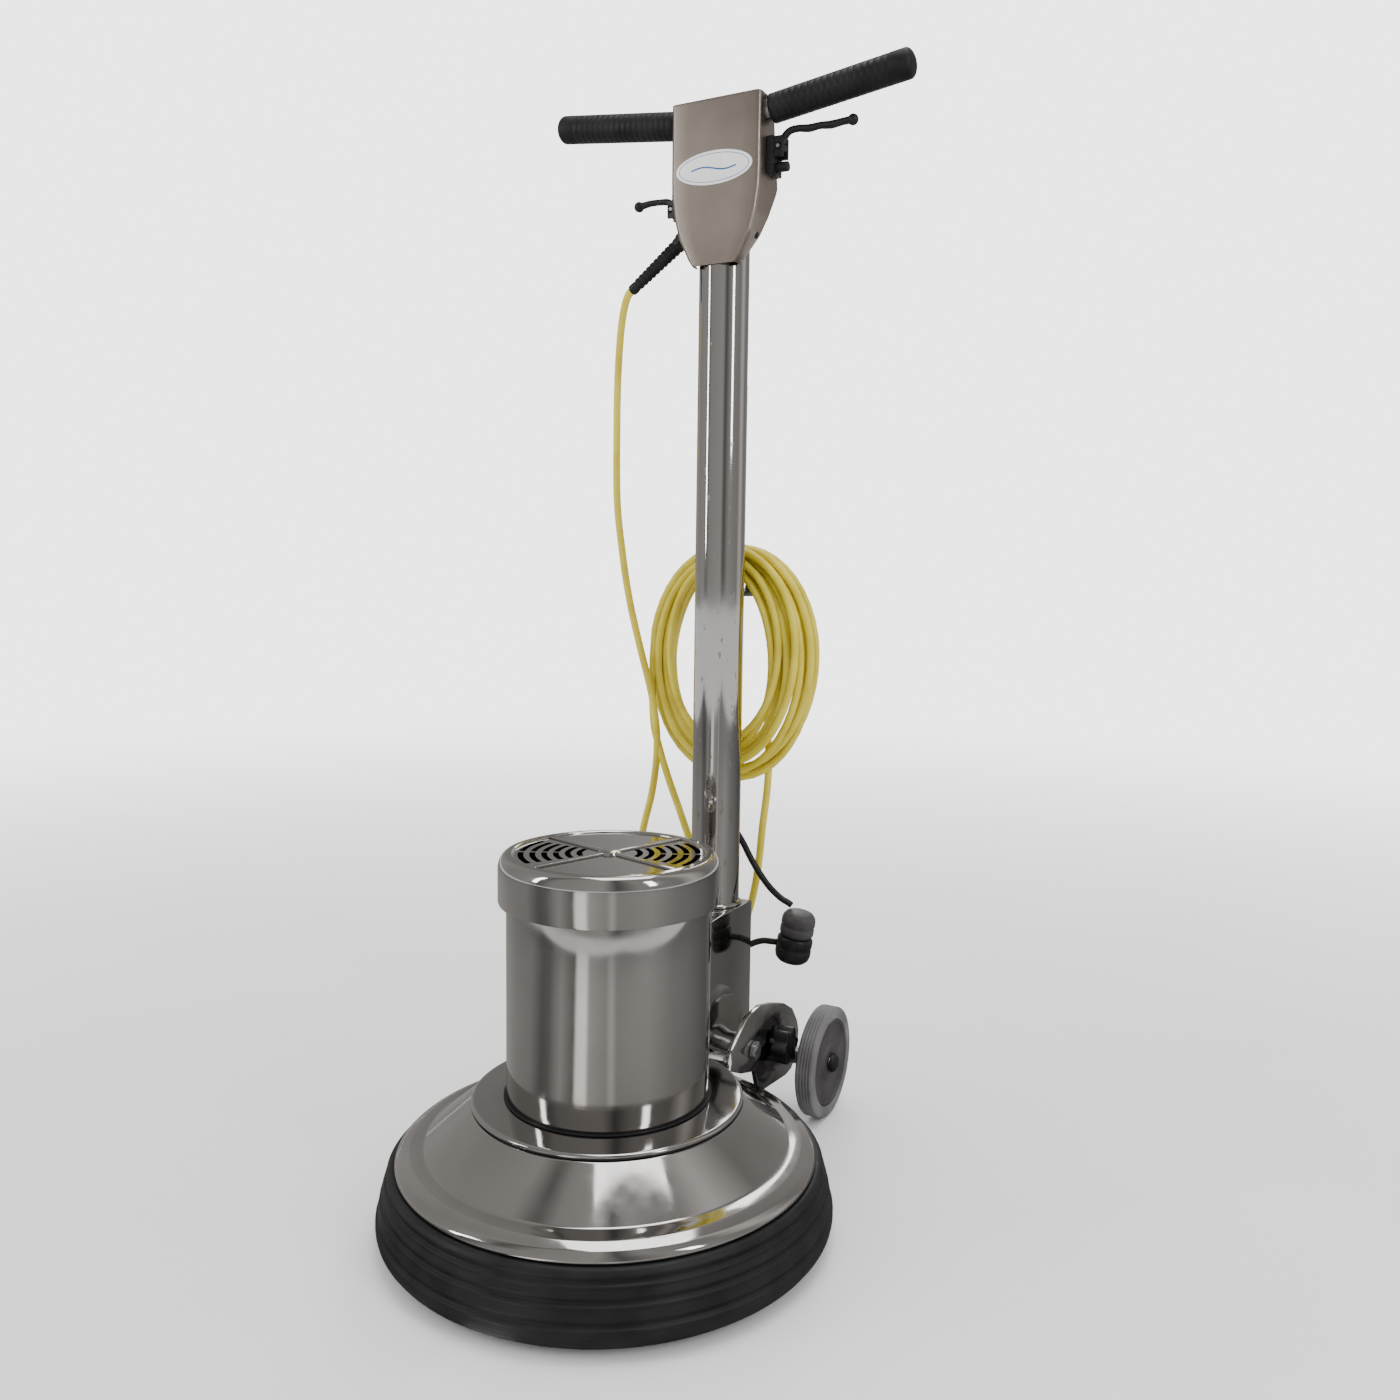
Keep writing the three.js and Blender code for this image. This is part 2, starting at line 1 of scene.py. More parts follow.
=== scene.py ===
"""Looks of the rotary floor machine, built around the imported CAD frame. Metres, +Z up."""
import json
import math

import bmesh
import bpy
import numpy as np
from mathutils import Matrix, Vector


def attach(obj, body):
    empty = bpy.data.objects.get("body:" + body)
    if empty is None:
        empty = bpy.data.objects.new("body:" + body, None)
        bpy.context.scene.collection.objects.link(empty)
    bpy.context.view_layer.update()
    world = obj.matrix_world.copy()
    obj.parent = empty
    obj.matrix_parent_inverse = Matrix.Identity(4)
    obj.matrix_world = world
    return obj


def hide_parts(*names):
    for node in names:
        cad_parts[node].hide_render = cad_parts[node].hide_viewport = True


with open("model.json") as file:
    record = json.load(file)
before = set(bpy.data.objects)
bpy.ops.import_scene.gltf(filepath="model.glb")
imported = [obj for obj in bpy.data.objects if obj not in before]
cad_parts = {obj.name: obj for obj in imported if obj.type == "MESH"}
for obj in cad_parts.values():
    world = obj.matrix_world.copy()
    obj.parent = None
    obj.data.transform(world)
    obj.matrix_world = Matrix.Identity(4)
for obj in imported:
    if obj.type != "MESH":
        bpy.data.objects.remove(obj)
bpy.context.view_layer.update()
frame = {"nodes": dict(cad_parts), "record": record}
SLOT_OF = {s["node"]: s["material_slot"] for s in frame["record"]["subparts"]}
BODY_OF = {n: b for b, ns in frame["record"]["behaviour"]["bodies"].items() for n in ns}


# Places shared by several pieces, in millimetres.
PIVOT_Y, PIVOT_Z = 205, 108
WHEEL_CENTRE = (0, 314, 65)
TUBE_Y = 224.3
LEVER_Y = 224
GRIP_Y = 219
VENT_DEG = 27
BADGE_Z = 1047


# ---------------------------------------------------------------- camera
def make_camera():
    data = bpy.data.cameras.new("camera")
    data.sensor_width = 36
    data.lens = 30.157
    cam = bpy.data.objects.new("camera", data)
    bpy.context.scene.collection.objects.link(cam)
    right, up = Vector((0.88773, 0.46013, 0.01424)), Vector((-0.05758, 0.08029, 0.99508))
    back = right.cross(up)
    cam.matrix_world = Matrix((right, up, back)).transposed().to_4x4()
    cam.location = (0.5744, -0.9306, 0.6163)
    bpy.context.scene.camera = cam


make_camera()


# ---------------------------------------------------------------- materials
def new_material(name, **values):
    m = bpy.data.materials.new(name)
    m.use_nodes = True
    bsdf = m.node_tree.nodes["Principled BSDF"]
    for key, value in values.items():
        bsdf.inputs[key.replace("_", " ")].default_value = value
    return m, m.node_tree, bsdf


def noise(tree, scale, detail=3.0, stretch=(1, 1, 1)):
    coord = tree.nodes.new("ShaderNodeTexCoord")
    mapping = tree.nodes.new("ShaderNodeMapping")
    mapping.inputs["Scale"].default_value = stretch
    tex = tree.nodes.new("ShaderNodeTexNoise")
    tex.inputs["Scale"].default_value = scale
    tex.inputs["Detail"].default_value = detail
    tree.links.new(coord.outputs["Object"], mapping.inputs["Vector"])
    tree.links.new(mapping.outputs["Vector"], tex.inputs["Vector"])
    return tex.outputs["Fac"]


def spread(tree, source, socket, low, high, start=0.3, end=0.7):
    m = tree.nodes.new("ShaderNodeMapRange")
    for key, value in (("From Min", start), ("From Max", end), ("To Min", low), ("To Max", high)):
        m.inputs[key].default_value = value
    tree.links.new(source, m.inputs["Value"])
    tree.links.new(m.outputs["Result"], socket)


def tint(tree, source, socket, dark, light, start=0.35, end=0.65):
    ramp = tree.nodes.new("ShaderNodeValToRGB")
    ramp.color_ramp.elements[0].position = start
    ramp.color_ramp.elements[1].position = end
    ramp.color_ramp.elements[0].color = (*dark, 1)
    ramp.color_ramp.elements[1].color = (*light, 1)
    tree.links.new(source, ramp.inputs["Fac"])
    tree.links.new(ramp.outputs["Color"], socket)


def bump(tree, bsdf, source, strength, distance):
    b = tree.nodes.new("ShaderNodeBump")
    b.inputs["Strength"].default_value = strength
    b.inputs["Distance"].default_value = distance
    tree.links.new(source, b.inputs["Height"])
    tree.links.new(b.outputs["Normal"], bsdf.inputs["Normal"])


def metal(name, dark, light, rough, noise_scale, stretch=(1, 1, 1), bump_by=0.0):
    m, tree, bsdf = new_material(name, Metallic=1.0)
    tint(tree, noise(tree, 9, 4), bsdf.inputs["Base Color"], dark, light)
    fine = noise(tree, noise_scale, 4, stretch)
    spread(tree, fine, bsdf.inputs["Roughness"], rough[0], rough[1])
    if bump_by:
        bump(tree, bsdf, fine, bump_by, 0.0002)
    return m


def plastic(name, dark, light, rough, noise_scale=900, bump_by=0.12, specular=0.4):
    m, tree, bsdf = new_material(name, Specular_IOR_Level=specular)
    tint(tree, noise(tree, 30, 3), bsdf.inputs["Base Color"], dark, light)
    spread(tree, noise(tree, 60, 3), bsdf.inputs["Roughness"], rough[0], rough[1])
    bump(tree, bsdf, noise(tree, noise_scale, 2), bump_by, 0.0002)
    return m


def scuffed_chrome():
    """Tube chrome: mirror-bright, with small dull scuffs on its lower half."""
    m, tree, bsdf = new_material("chrome_tube", Metallic=1.0)
    coord = tree.nodes.new("ShaderNodeTexCoord")
    split = tree.nodes.new("ShaderNodeSeparateXYZ")
    tree.links.new(coord.outputs["Object"], split.inputs["Vector"])
    low = tree.nodes.new("ShaderNodeMapRange")
    for key, value in (("From Min", 0.35), ("From Max", 0.80), ("To Min", 0.055), ("To Max", 0.0)):
        low.inputs[key].default_value = value
    tree.links.new(split.outputs["Z"], low.inputs["Value"])
    add = tree.nodes.new("ShaderNodeMath")
    tree.links.new(noise(tree, 130, 6, (1, 1, 0.35)), add.inputs[0])
    tree.links.new(low.outputs["Result"], add.inputs[1])
    spread(tree, add.outputs[0], bsdf.inputs["Roughness"], 0.07, 0.34, 0.66, 0.74)
    tint(tree, add.outputs[0], bsdf.inputs["Base Color"], (0.50, 0.485, 0.475), (0.30, 0.28, 0.265), 0.66, 0.75)
    return m


MATS = {
    "chrome": metal("chrome", (0.44, 0.425, 0.415), (0.50, 0.485, 0.475), (0.06, 0.115), 60),
    "brushed_cover": metal("brushed_cover", (0.29, 0.245, 0.21), (0.39, 0.335, 0.295), (0.30, 0.42), 260,
                           (14, 14, 0.35), 0.12),
    "steel": metal("steel", (0.42, 0.42, 0.43), (0.55, 0.55, 0.56), (0.25, 0.38), 300, (1, 1, 1), 0.05),
    "cast_aluminium": metal("cast_aluminium", (0.5, 0.5, 0.51), (0.62, 0.62, 0.63), (0.4, 0.55), 700,
                            (1, 1, 1), 0.3),
    "rubber_black": plastic("rubber_black", (0.006, 0.006, 0.007), (0.013, 0.013, 0.014), (0.42, 0.6), 1400,
                            0.2, 0.35),
    "black_plastic": plastic("black_plastic", (0.007, 0.007, 0.008), (0.014, 0.014, 0.015), (0.32, 0.45), 900,
                             0.1),
    "grey_plastic": plastic("grey_plastic", (0.04, 0.037, 0.04), (0.065, 0.06, 0.064), (0.42, 0.55)),
    "tread_grey": plastic("tread_grey", (0.11, 0.105, 0.11), (0.17, 0.165, 0.17), (0.6, 0.75), 1200, 0.3),
    "cord_yellow": plastic("cord_yellow", (0.60, 0.48, 0.03), (0.74, 0.62, 0.055), (0.30, 0.45), 1500,
                           0.08, 0.5),
    "badge_white": plastic("badge_white", (0.84, 0.84, 0.85), (0.88, 0.88, 0.88), (0.2, 0.28), 400, 0.02, 0.5),
    "badge_blue": plastic("badge_blue", (0.02, 0.09, 0.32), (0.03, 0.12, 0.38), (0.25, 0.35), 400, 0.02),
    "pad_fibre": plastic("pad_fibre", (0.012, 0.008, 0.006), (0.05, 0.035, 0.028), (0.85, 0.95), 500,
                         1.0, 0.15),
    "chrome_tube": scuffed_chrome(),
}
for node_name, node in frame["nodes"].items():
    node.data.materials.clear()
    node.data.materials.append(MATS[SLOT_OF[node_name]])


# ---------------------------------------------------------------- mesh helpers
def finish_piece(obj, body, look, nodes=(), smooth=38.0):
    """Shades, paints and mounts a new piece, and hides the CAD nodes it stands for."""
    if obj.type == "MESH":
        obj.data.shade_smooth()
        if smooth:
            obj.data.set_sharp_from_angle(angle=math.radians(smooth))
    obj.data.materials.clear()
    obj.data.materials.append(MATS[look])
    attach(obj, body)
    if nodes:
        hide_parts(*nodes)
    return obj


def mesh_object(name, verts, faces):
    data = bpy.data.meshes.new(name)
    data.from_pydata([tuple(v) for v in verts], [], faces)
    data.validate()
    obj = bpy.data.objects.new(name, data)
    bpy.context.scene.collection.objects.link(obj)
    bm = bmesh.new()
    bm.from_mesh(data)
    bmesh.ops.remove_doubles(bm, verts=bm.verts, dist=1e-7)
    bmesh.ops.recalc_face_normals(bm, faces=bm.faces)
    bm.to_mesh(data)
    bm.free()
    return obj


def rounded(points, radius, steps=4, closed=True):
    """Replaces each corner of an outline by a small arc."""
    out, n = [], len(points)
    for i, p in enumerate(points):
        p = Vector(p)
        if not closed and i in (0, n - 1):
            out.append(p)
            continue
        a, b = Vector(points[i - 1]), Vector(points[(i + 1) % n])
        da, db = (a - p), (b - p)
        r = min(radius, da.length * 0.45, db.length * 0.45)
        p0, p1 = p + da.normalized() * r, p + db.normalized() * r
        for k in range(steps + 1):
            t = k / steps
            out.append(p0 * (1 - t) ** 2 + p * (2 * t * (1 - t)) + p1 * t * t)
    return out


def turned(name, profile, origin=(0, 0, 0), axis=(0, 0, 1), segs=128, closed=True):
    """Revolves (radius, height) points, in millimetres, about an axis through origin."""
    pts = [(max(p[0], 0.0) / 1000, p[1] / 1000) for p in profile]
    n, verts, faces = len(pts), [], []
    for i in range(segs):
        a = 2 * math.pi * i / segs
        verts += [(r * math.cos(a), r * math.sin(a), z) for r, z in pts]
    last = n if closed else n - 1
    for i in range(segs):
        j = (i + 1) % segs
        for k in range(last):
            k2 = (k + 1) % n
            quad = [i * n + k, j * n + k, j * n + k2, i * n + k2]
            if pts[k][0] < 1e-9:
                quad = [i * n + k, j * n + k2, i * n + k2]
            elif pts[k2][0] < 1e-9:
                quad = [i * n + k, j * n + k, i * n + k2]
            if pts[k][0] < 1e-9 and pts[k2][0] < 1e-9:
                continue
            faces.append(quad)
    turn = Vector((0, 0, 1)).rotation_difference(Vector(axis).normalized()).to_matrix()
    o = Vector(origin) / 1000
    return mesh_object(name, [turn @ Vector(v) + o for v in verts], faces)


def slab(name, outline, low, high, across="X", bevel=0.001, segments=3):
    """Pushes an outline in millimetres along X, Y or Z, and rounds its edges."""
    order = {"X": (2, 0, 1), "Y": (0, 2, 1), "Z": (0, 1, 2)}[across]
    n = len(outline)
    verts = [Vector([(a, b, c)[k] for k in order]) / 1000 for c in (low, high) for a, b in outline]
    faces = [list(range(n)), list(range(n, 2 * n))]
    faces += [[i, (i + 1) % n, (i + 1) % n + n, i + n] for i in range(n)]
    obj = mesh_object(name, verts, faces)
    return bevelled(obj, bevel, segments)


def bevelled(obj, width, segments=3, angle=30):
    mod = obj.modifiers.new("bevel", "BEVEL")
    mod.width = width
    mod.segments = segments
    mod.limit_method = "ANGLE"
    mod.angle_limit = math.radians(angle)
    return applied(obj)


def applied(obj):
    graph = bpy.context.evaluated_depsgraph_get()
    done = bpy.data.meshes.new_from_object(obj.evaluated_get(graph))
    obj.modifiers.clear()
    obj.data = done
    return obj


def refined(node, width=0.0008, segments=3):
    """A CAD node's own shape with its flat faces joined up and its edges rounded."""
    data = frame["nodes"][node].data.copy()
    obj = bpy.data.objects.new(node + "_fine", data)
    bpy.context.scene.collection.objects.link(obj)
    bm = bmesh.new()
    bm.from_mesh(data)
    bmesh.ops.remove_doubles(bm, verts=bm.verts, dist=2e-6)
    bmesh.ops.dissolve_limit(bm, angle_limit=math.radians(1.5), verts=bm.verts, edges=bm.edges)
    bm.to_mesh(data)
    bm.free()
    bevelled(obj, width, segments)
    return finish_piece(obj, BODY_OF[node], SLOT_OF[node], [node])


def swept(name, path, radii, sides=20):
    """A tube in the XZ plane through path (x, y, z in millimetres) with a radius at each point."""
    pts = [Vector(p) / 1000 for p in path]
    verts, faces = [], []
    for i, p in enumerate(pts):
        d = (pts[min(i + 1, len(pts) - 1)] - pts[max(i - 1, 0)]).normalized()
        side = d.cross(Vector((0, 1, 0))).normalized()
        for k in range(sides):
            a = 2 * math.pi * k / sides
            r = radii[i] / 1000
            verts.append(p + side * (r * math.cos(a)) + Vector((0, 1, 0)) * (r * math.sin(a)))
    for i in range(len(pts) - 1):
        for k in range(sides):
            k2 = (k + 1) % sides
            faces.append([i * sides + k, i * sides + k2, (i + 1) * sides + k2, (i + 1) * sides + k])
    faces += [list(range(sides)), list(range((len(pts) - 1) * sides, len(pts) * sides))]
    return mesh_object(name, verts, faces)


def smooth_path(points, per=8):
    """Catmull-Rom points through a given route."""
    p = [Vector(q) for q in points]
    p = [p[0] * 2 - p[1]] + p + [p[-1] * 2 - p[-2]]
    out = []
    for i in range(1, len(p) - 2):
        for k in range(per):
            t = k / per
            a, b, c, d = p[i - 1], p[i], p[i + 1], p[i + 2]
            out.append(0.5 * ((2 * b) + (c - a) * t + (2 * a - 5 * b + 4 * c - d) * t ** 2
                              + (3 * b - a - 3 * c + d) * t ** 3))
    out.append(p[-2])
    return out


def cable(name, points, diameter, body, look, nodes):
    curve = bpy.data.curves.new(name, "CURVE")
    curve.dimensions = "3D"
    curve.bevel_depth = diameter / 2
    curve.bevel_resolution = 4
    curve.use_fill_caps = True
    spline = curve.splines.new("POLY")
    spline.points.add(len(points) - 1)
    for slot, p in zip(spline.points, points):
        slot.co = (*p, 1)
    spline.use_smooth = True
    obj = bpy.data.objects.new(name, curve)
    bpy.context.scene.collection.objects.link(obj)
    return finish_piece(obj, body, look, nodes)


# ---------------------------------------------------------------- mains cord
CORD_D = 0.0086
DROP = [[-115, 224, 939.6], [-119.2, 224.6, 936.4], [-127.5, 230, 925], [-137, 238, 900], [-146, 247, 850],
        [-150.5, 253, 790], [-150, 254, 713], [-142, 254, 650], [-132, 254, 597], [-118, 254, 545],
        [-103, 255, 493], [-96, 257, 450], [-96, 258, 412], [-103, 260, 370], [-114, 262, 332],
        [-120.5, 264, 300], [-122, 266, 268], [-116.9, 267.5, 249], [-103, 269, 235.1], [-84, 269.5, 230],
        [-65, 269, 235.1], [-51.1, 268.5, 249], [-46, 268, 268], [-48, 266, 300], [-63, 262, 345],
        [-78, 259, 385]]
TAIL = [[35, 282, 374.5], [31, 282, 340], [28, 282, 305], [24, 282, 275], [18, 281.5, 246], [10, 281, 221],
        [6.8, 281, 212]]
# Each strand's layer (0 inside, 1 outside) and place front to back, packed like stacked rods.
LAYERS = [(1, 0.5, 0), (0.25, 0.75)]
STRANDS = [(layer, column) for column in range(5) for layer in LAYERS[column % 2]]


def coil_point(layer_top, layer_low, y, angle):
    low = (1 - math.sin(angle)) / 2
    layer = layer_top * (1 - low) + layer_low * low
    inner = (-24.5 + 58.8 * math.cos(angle), 544 + 96.3 * math.sin(angle))
    outer = (-10.5 + 105.2 * math.cos(angle), 520 + 139.7 * math.sin(angle))
    return Vector((inner[0] + (outer[0] - inner[0]) * layer, y, inner[1] + (outer[1] - inner[1]) * layer))


def coil_points():
    """The turns run clockwise, gathered at the hook and fanned out at the bottom."""
    start, end, per_turn = math.radians(196), math.radians(-25), 44
    turns = len(STRANDS) - 1
    total = (start - end) + 2 * math.pi * turns
    steps = int(total / (2 * math.pi) * per_turn)
    points = []
    for i in range(steps + 1):
        along = i / steps * (len(STRANDS) - 1)
        k = min(int(along), len(STRANDS) - 2)
        t = along - k
        t = t * t * (3 - 2 * t)
        (la, ca), (lb, cb) = STRANDS[k], STRANDS[k + 1]
        fan = [((7 * j) % len(STRANDS)) / (len(STRANDS) - 1) for j in (k, k + 1)]
        top, fanned, column = la + (lb - la) * t, fan[0] + (fan[1] - fan[0]) * t, ca + (cb - ca) * t
        angle = start - total * i / steps
        wave = 0.8 * math.sin(3 * angle + 1.7 * k)
        points.append(coil_point(top, 0.5 * fanned + 0.5 * top, 267.2 + 7.5 * column + wave, angle))
    return points


def make_cord():
    turns = coil_points()
    route = smooth_path(DROP, 5)[:-1]
    lead_in = smooth_path([DROP[-2], DROP[-1], [-93, 259.5, 425], [-104, 263, 462], turns[3]], 6)[6:-1]
    over_turns = [[26, 302, 462], [29, 301, 420], [32, 291, 382]]
    lead_out = smooth_path([turns[-4], turns[-1], *over_turns, *TAIL[1:]], 5)[5:]
    mm = route + lead_in + turns[4:-1] + lead_out
    points = [Vector(p) / 1000 for p in mm]
    cord = cable("mains_cord", points, CORD_D, "handle", "cord_yellow", ["cord_drop", "cord_coil", "cord_tail"])
    return cord, points


mains_cord, cord_line = make_cord()


def make_gland():
    a, b = Vector((-47.5, 224, 989)), Vector((-114.5, 224, 940))
    total = (b - a).length
    profile = [(0, 0), (9.4, 0), (9.6, 1), (9.6, 6), (8.6, 7.5)]
    ribs = 11
    for k in range(ribs):
        s = 12 + k * (total - 18) / ribs
        r = 8.4 - 2.4 * s / total
        profile += [(r, s - 1.9), (r, s + 0.9), (r - 0.9, s + 1.5), (r - 0.9, s + 2.7)]
    profile += [(6.0, total - 5), (5.9, total - 0.8), (5.2, total), (0, total)]
    return finish_piece(turned("cord_strain_relief", profile, a, b - a, 48, False), "handle", "black_plastic",
                        ["cord_gland"], 50)


def make_plug():
    lean = math.radians(19)
    axis = Vector((math.sin(lean), 0, math.cos(lean)))
    origin = Vector((6.7, 281, 211.6))
    profile = [(0, -0.3), (5.6, -0.3), (6.6, -1), (7, -4), (6.2, -5), (7.4, -6.5), (6.8, -8), (8.4, -9.5),
               (7.8, -11), (9.6, -13), (11, -17), (14.6, -26), (15.6, -29), (15.8, -42), (15, -43.7),
               (13.5, -44), (0, -44)]
    body = turned("mains_plug_body", profile, origin, axis, 56, False)
    finish_piece(body, "handle", "cord_yellow", ["plug"], 45)
    pins = []
    for dx in (-6.5, 6.5):
        tip = origin + axis * -53.2 + Vector((dx, 0, 0))
        outline = rounded([(-3.2, -8.6), (3.2, -8.6), (3.2, 8.6), (-3.2, 8.6)], 1.5)
        blade = slab("plug_blade_%d" % (1 if dx < 0 else 2), outline, -0.8, 0.8, "X", 0.0002, 2)
        blade.data.transform(Matrix.Translation(tip / 1000) @ Matrix.Rotation(lean, 4, "Y"))
        pins.append(finish_piece(blade, "handle", "steel"))
    return [body, *pins]


make_gland()
plug_pieces = make_plug()

LEAD_D = 0.0074
LEAD_UP = [[10, 253.6, 340], [17, 260, 325], [29, 263.5, 302], [46, 264, 280], [62, 263.5, 267], [73, 263, 262],
           [77.2, 263, 259.6]]
LEAD_LOW = [[60.2, 263, 214.6], [52, 262.7, 214.4], [44, 262, 214], [36, 260.5, 211.5], [29.5, 257.5, 208.5],
            [28, 253.6, 208]]


def make_motor_lead():
    origin, up = Vector((83, 263, 224)), Vector((0.17, 0, 0.985)).normalized()
    plug = [(0, 2.2), (16.2, 2.2), (17.6, 3.4), (19, 6), (19, 12), (18.2, 13), (18.2, 15), (19, 16), (19, 21),
            (18, 25), (15, 28.6), (12, 29.8), (0, 30)]
    socket = [(0, 1.9), (17.4, 1.9), (18.4, 1), (20, -2), (20, -9), (19.2, -10), (19.2, -12), (20, -13),
              (20, -19), (18.6, -24), (15, -27.6), (11, -28.8), (0, -29)]
    grey = turned("lead_plug", plug, origin, up, 56, False)
    finish_piece(grey, "handle", "grey_plastic", ["connector_plug"], 45)
    black = turned("lead_socket", socket, origin, up, 56, False)
    finish_piece(black, "handle", "black_plastic", ["connector_socket"], 45)
    upper = [Vector(p) / 1000 for p in smooth_path(LEAD_UP, 6)]
    lower = [Vector(p) / 1000 for p in smooth_path(LEAD_LOW, 6)]
    a = cable("motor_lead_top", upper, LEAD_D, "handle", "black_plastic", ["motor_lead_upper"])
    cable("motor_lead_bottom", lower, LEAD_D, "handle", "black_plastic", ["motor_lead_lower"])


make_motor_lead()


# ---------------------------------------------------------------- deck and motor
def make_deck():
    deck = rounded([(193.4, 30), (196, 30), (196, 71.5), (200.6, 72.6), (201, 75), (199.6, 78), (195, 81.8),
                    (187, 85.6), (180, 87.0), (173.8, 88.0), (130.6, 123.6), (85, 123.6), (85, 120.6),
                    (129.4, 120.6), (171, 85.2), (185, 82.4), (193.4, 75)], 1.4, 3)
    finish_piece(turned("deck_shell", deck, segs=192), "base", "chrome", ["deck"], 30)
    gasket = rounded([(90, 123.9), (129.6, 123.9), (129.6, 125.1), (90, 125.1)], 0.3, 2)
    finish_piece(turned("deck_seal", gasket, segs=160), "base", "rubber_black", ["deck_gasket"])
    flange = rounded([(8.4, 125.4), (130.4, 125.4), (130.4, 127.8), (128, 129.4), (104, 130.3), (8.4, 130.3)],
                     1.2, 4)
    finish_piece(turned("motor_flange_ring", flange, segs=160), "base", "chrome", ["motor_flange"])
    seal = rounded([(90, 130.6), (99.6, 130.6), (99.6, 132), (90, 132)], 0.4, 3)
    finish_piece(turned("motor_seal", seal, segs=128), "base", "rubber_black", ["motor_gasket"])


def make_bumper():
    outline = [(196.4, 4), (200, 4), (207, 5.6), (213.5, 10.5), (217.4, 16), (218.5, 21)]
    for low, high, r in ((25, 27.6, 218.4), (42.5, 45, 214.6), (57.5, 60, 210.4)):
        outline += [(r - 0.4, low), (r, low + 0.9), (r - 0.2, high), (r - 2.9, high + 1.4),
                    (r - 3.3, high + 3.4), (r - 2.0, high + 7.0)]
    outline += [(207.2, 69), (205.6, 71.0), (203, 72.2), (196.4, 71.4)]
    ring = turned("bumper_ring", rounded(outline, 1.2, 3), segs=192)
    finish_piece(ring, "base", "rubber_black", ["bumper"], 50)


def make_motor():
    can = rounded([(94.7, 132.3), (97.2, 132.3), (97.2, 317.3), (94.7, 317.3)], 0.5, 2)
    finish_piece(turned("motor_shell", can, segs=160), "base", "chrome", ["motor_can"])
    rim = [(98.2, 317.8), (102.6, 317.8), (104.4, 318.6), (105, 320.4), (105, 350)]
    for k in range(1, 13):
        a = math.pi / 2 * k / 12
        rim.append((105 - 9 * (1 - math.cos(a)), 350 + 14.2 * math.sin(a)))
    rim += [(92.2, 364.5), (90.9, 363.6), (90.3, 362.6), (90.3, 360), (99.6, 360), (102.4, 354), (102.4, 321.2),
            (98.2, 321.2)]
    finish_piece(turned("cap_shell", rim, segs=160), "base", "chrome", ["motor_cap"], 35)
    make_grille()
    for i in range(2):
        rib = slab("cap_rib_%d" % (i + 1), rounded([(-90.4, -3.6), (90.4, -3.6), (90.4, 3.6), (-90.4, 3.6)], 1),
                   362.3, 364.3, "Z", 0.0008, 3)
        rib.data.transform(Matrix.Rotation(math.radians(VENT_DEG + 45 + 90 * i), 4, "Z"))
        finish_piece(rib, "base", "chrome")
    boss = [(0, 365.2), (9, 365.2), (11, 364.4), (12, 362.4), (0, 362.4)]
    finish_piece(turned("cap_boss", boss, segs=48, closed=False), "base", "chrome")


def make_grille():
    """The cap's top plate on a polar grid, with two fans of curved slots left open."""
    rows = [26 + 11 * k for k in range(6)]
    radii = [8, 18]
    for r in rows:
        radii += [r, r + 5.5]
    radii += [90.4]
    segs, half = 216, 33.5
    step = 360 / segs
    verts, faces = [], []
    for r in radii:
        for s in range(segs):
            a = math.radians(VENT_DEG + s * step)
            verts.append(Vector((r * math.cos(a), r * math.sin(a), 362.5)) / 1000)
    for i in range(len(radii) - 1):
        row = rows.index(radii[i]) if radii[i] in rows else None
        for s in range(segs):
            off = ((s + 0.5) * step + 90) % 180 - 90
            slot_here = row is not None and abs(off) < half and (row < 2 or abs(off) > 100 / radii[i])
            if not slot_here:
                s2 = (s + 1) % segs
                faces.append([i * segs + s, i * segs + s2, (i + 1) * segs + s2, (i + 1) * segs + s])
    faces.append(list(range(segs)))
    plate = mesh_object("cap_grille", verts, faces)
    thick = plate.modifiers.new("thick", "SOLIDIFY")
    thick.thickness = 0.0024
    thick.offset = -1
    applied(plate)
    finish_piece(plate, "base", "chrome", smooth=30)


def make_brush():
    pad = rounded([(0, 0), (190, 0), (190, 20), (0, 20)], 2.5, 4, False)
    finish_piece(turned("floor_pad", pad, segs=128, closed=False), "brush", "pad_fibre", ["pad"])
    driver = rounded([(42, 20.3), (184, 20.3), (184, 32), (70, 35), (66, 38), (42, 38)], 1, 3)
    finish_piece(turned("pad_holder", driver, segs=128), "brush", "black_plastic", ["pad_driver"])


make_deck()
make_bumper()
make_motor()
make_brush()


# ---------------------------------------------------------------- yoke, wheels, handle foot
def hex_nut(name, x0, x1, y, z, r, body):
    corners = [math.pi / 3 * k + 0.2 for k in range(6)]
    outline = [(r * math.cos(a) + y, r * math.sin(a) + z) for a in corners]
    return finish_piece(slab(name, outline, x0, x1, "X", 0.0007, 3), body, "steel")


